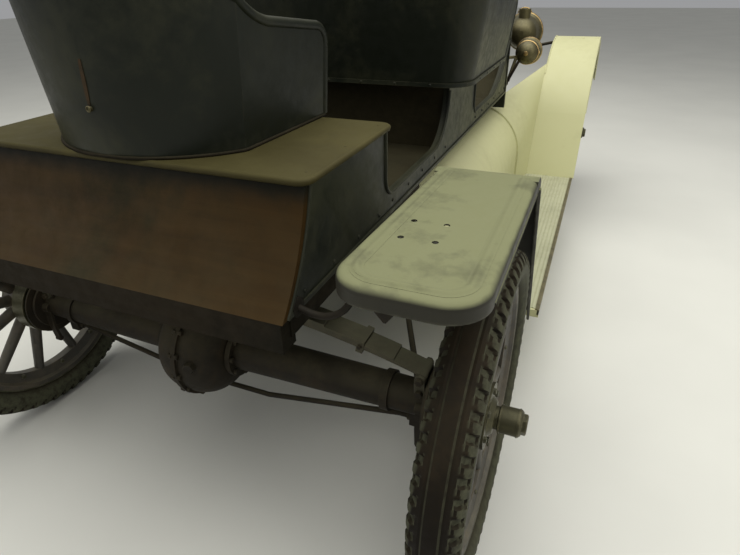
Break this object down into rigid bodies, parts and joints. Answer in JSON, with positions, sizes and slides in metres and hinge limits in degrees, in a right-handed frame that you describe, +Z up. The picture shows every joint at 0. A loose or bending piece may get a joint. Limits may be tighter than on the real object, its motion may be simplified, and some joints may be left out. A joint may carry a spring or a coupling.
{
  "type": "brass-era open touring car",
  "caption": "Open brass-era car with a front bench, a single rear seat, wood-spoked wheels, steel fenders, running boards and transverse leaf springs.",
  "frame": {"origin": "on the floor under the middle of the car's length", "axes": "+Y towards the front of the car, +X to its right side, +Z up"},
  "size_m": [1.642, 3.3919, 1.4904],
  "materials": {
    "tyre": "matte",
    "wheel_wood": "satin",
    "hub_brass": "tarnished",
    "running_gear": "matte",
    "engine_iron": "matte",
    "body_paint": "satin",
    "dusty_green": "matte",
    "cream_paint": "matte",
    "hood_paint": "satin",
    "brass": "tarnished",
    "radiator_core": "matte",
    "body_wood": "matte",
    "back_wood": "satin",
    "deck_paint": "matte",
    "leather": "satin",
    "wheel_rim": "gloss"
  },
  "bodies": {
    "car": {"rear_axle": "running_gear", "truss_rod": "running_gear", "drive_tube": "running_gear", "rear_spring": "running_gear", "front_spring": "running_gear", "front_axle": "running_gear", "front_radius_rod": "running_gear", "chassis_frame": "running_gear", "board_brackets": "running_gear", "fender_irons": "running_gear", "exhaust": "running_gear", "crank": "running_gear", "controls": "running_gear", "steering_column": "running_gear", "engine": "engine_iron", "body_sides": "body_paint", "firewall": "body_paint", "front_seat_tub": "body_paint", "rear_seat_tub": "body_paint", "rear_fenders": "dusty_green", "front_fenders": "cream_paint", "splash_aprons": "cream_paint", "front_aprons": "cream_paint", "running_boards": "cream_paint", "radiator_shell": "brass", "headlamps": "brass", "side_lamps": "brass", "hood_hinge": "brass", "radiator_core": "radiator_core", "body_floor": "body_wood", "toe_board": "body_wood", "heel_boards": "body_wood", "seat_board": "body_wood", "body_sills": "body_wood", "hood_ledges": "body_wood", "back_panel": "back_wood", "rear_deck": "deck_paint", "rear_seat_cushion": "leather", "rear_back_cushion": "leather", "front_seat_cushion": "leather", "front_back_cushion": "leather"},
    "rear_left_wheel": {"tyre_rear_left": "tyre", "wheel_rear_left": "wheel_wood", "hub_rear_left": "hub_brass"},
    "rear_right_wheel": {"tyre_rear_right": "tyre", "wheel_rear_right": "wheel_wood", "hub_rear_right": "hub_brass"},
    "front_left_wheel": {"tyre_front_left": "tyre", "wheel_front_left": "wheel_wood", "hub_front_left": "hub_brass"},
    "front_right_wheel": {"tyre_front_right": "tyre", "wheel_front_right": "wheel_wood", "hub_front_right": "hub_brass"},
    "left_knuckle": {"knuckle_left": "running_gear"},
    "right_knuckle": {"knuckle_right": "running_gear"},
    "tie_rod_body": {"tie_rod": "running_gear"},
    "pitman": {"pitman_arm": "running_gear"},
    "steering_wheel_body": {"steering_wheel": "wheel_rim"},
    "hood_left_half": {"hood_left": "hood_paint"},
    "hood_right_half": {"hood_right": "hood_paint"}
  },
  "joints": [
    {"name": "spin_rear_left", "type": "hinge", "parent": "car", "child": "rear_left_wheel", "pos_m": [-0.711, -1.315, 0.381], "axis": [1, 0, 0], "continuous": true},
    {"name": "spin_rear_right", "type": "hinge", "parent": "car", "child": "rear_right_wheel", "pos_m": [0.711, -1.315, 0.381], "axis": [1, 0, 0], "continuous": true},
    {"name": "steer_left", "type": "hinge", "parent": "car", "child": "left_knuckle", "pos_m": [-0.64, 1.225, 0.381], "axis": [0, 0, 1], "range_deg": [-35, 35]},
    {"name": "spin_front_left", "type": "hinge", "parent": "left_knuckle", "child": "front_left_wheel", "pos_m": [-0.711, 1.225, 0.381], "axis": [1, 0, 0], "continuous": true},
    {"name": "steer_right", "type": "hinge", "parent": "car", "child": "right_knuckle", "pos_m": [0.64, 1.225, 0.381], "axis": [0, 0, 1], "range_deg": [-35, 35]},
    {"name": "spin_front_right", "type": "hinge", "parent": "right_knuckle", "child": "front_right_wheel", "pos_m": [0.711, 1.225, 0.381], "axis": [1, 0, 0], "continuous": true},
    {"name": "tie_rod_pivot", "type": "hinge", "parent": "left_knuckle", "child": "tie_rod_body", "pos_m": [-0.64, 1.095, 0.381], "axis": [0, 0, 1], "range_deg": [-35, 35]},
    {"name": "pitman_turn", "type": "hinge", "parent": "car", "child": "pitman", "pos_m": [-0.225, 1.015, 0.52], "axis": [0, -0.761, 0.6488], "range_deg": [-30, 30]},
    {"name": "steering_wheel_turn", "type": "hinge", "parent": "car", "child": "steering_wheel_body", "pos_m": [-0.225, 0.065, 1.33], "axis": [0, -0.761, 0.6488], "range_deg": [-140, 140]},
    {"name": "hood_left_hinge", "type": "hinge", "parent": "car", "child": "hood_left_half", "pos_m": [0, 0.855, 1.083], "axis": [0, 1, 0], "range_deg": [0, 65]},
    {"name": "hood_right_hinge", "type": "hinge", "parent": "car", "child": "hood_right_half", "pos_m": [0, 0.855, 1.083], "axis": [0, -1, 0], "range_deg": [0, 65]}
  ],
  "couplings": [
    {"joint": "steer_right", "follows": "steer_left", "ratio": 1},
    {"joint": "tie_rod_pivot", "follows": "steer_left", "ratio": -1},
    {"joint": "pitman_turn", "follows": "steer_left", "ratio": 0.857},
    {"joint": "steering_wheel_turn", "follows": "steer_left", "ratio": 4}
  ]
}
